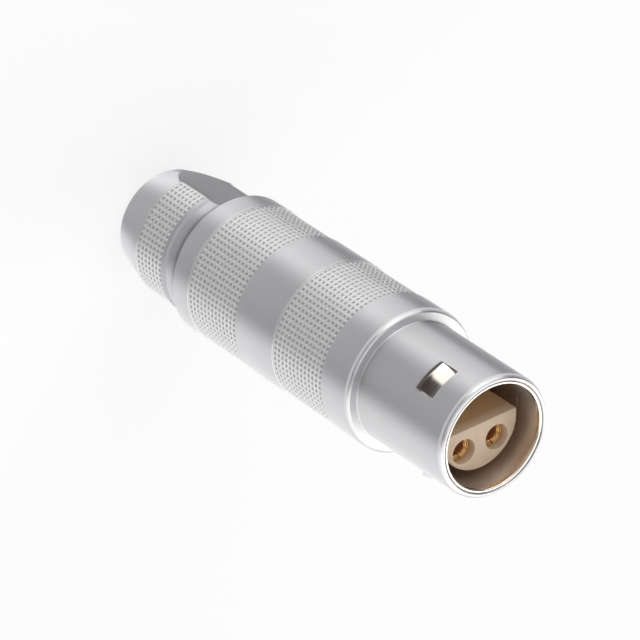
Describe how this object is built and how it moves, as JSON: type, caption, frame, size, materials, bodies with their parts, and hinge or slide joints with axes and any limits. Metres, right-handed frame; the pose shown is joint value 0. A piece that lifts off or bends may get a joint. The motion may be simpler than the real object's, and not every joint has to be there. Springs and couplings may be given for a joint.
{
  "type": "circular connector socket",
  "caption": "Cable-mounted push-pull circular connector socket: satin chrome shell with knurled bands, half-moon insert with gold contacts, collet nut at the cable end.",
  "frame": {"origin": "bottom centre: on the connector's axis, in the end face of the collet nut that it stands on", "axes": "+Z along the axis, from the cable end to the mouth; +X towards the side of the mouth that the half-moon insert leaves open"},
  "size_m": [0.0125, 0.0124, 0.0447],
  "materials": {
    "satin_chrome": "satin chrome plate on brass",
    "nickel": "bright nickel plate",
    "nickel_brass": "nickel-plated brass, as turned",
    "gold": "gold plate",
    "insulator": "beige moulded plastic"
  },
  "bodies": {
    "connector": {"outer_shell": "satin_chrome", "earthing_crown": "nickel", "front_insulator": "insulator", "rear_insulator": "insulator", "contact_1": "gold", "contact_2": "gold", "carrier_half_1": "nickel_brass", "carrier_half_2": "nickel_brass", "retaining_ring": "nickel_brass"},
    "collet": {"cable_collet": "nickel_brass"},
    "nut": {"collet_nut": "satin_chrome"}
  },
  "joints": [
    {"name": "collet_travel", "type": "slide", "parent": "connector", "child": "collet", "axis": [0, 0, -1], "range_m": [0, 0.002]},
    {"name": "nut_turn", "type": "hinge", "parent": "collet", "child": "nut", "pos_m": [0, 0, 0.005], "axis": [0, 0, -1], "range_deg": [0, 1440]}
  ],
  "couplings": [
    {"joint": "nut_turn", "follows": "collet_travel", "rad_per_m": 12566}
  ]
}
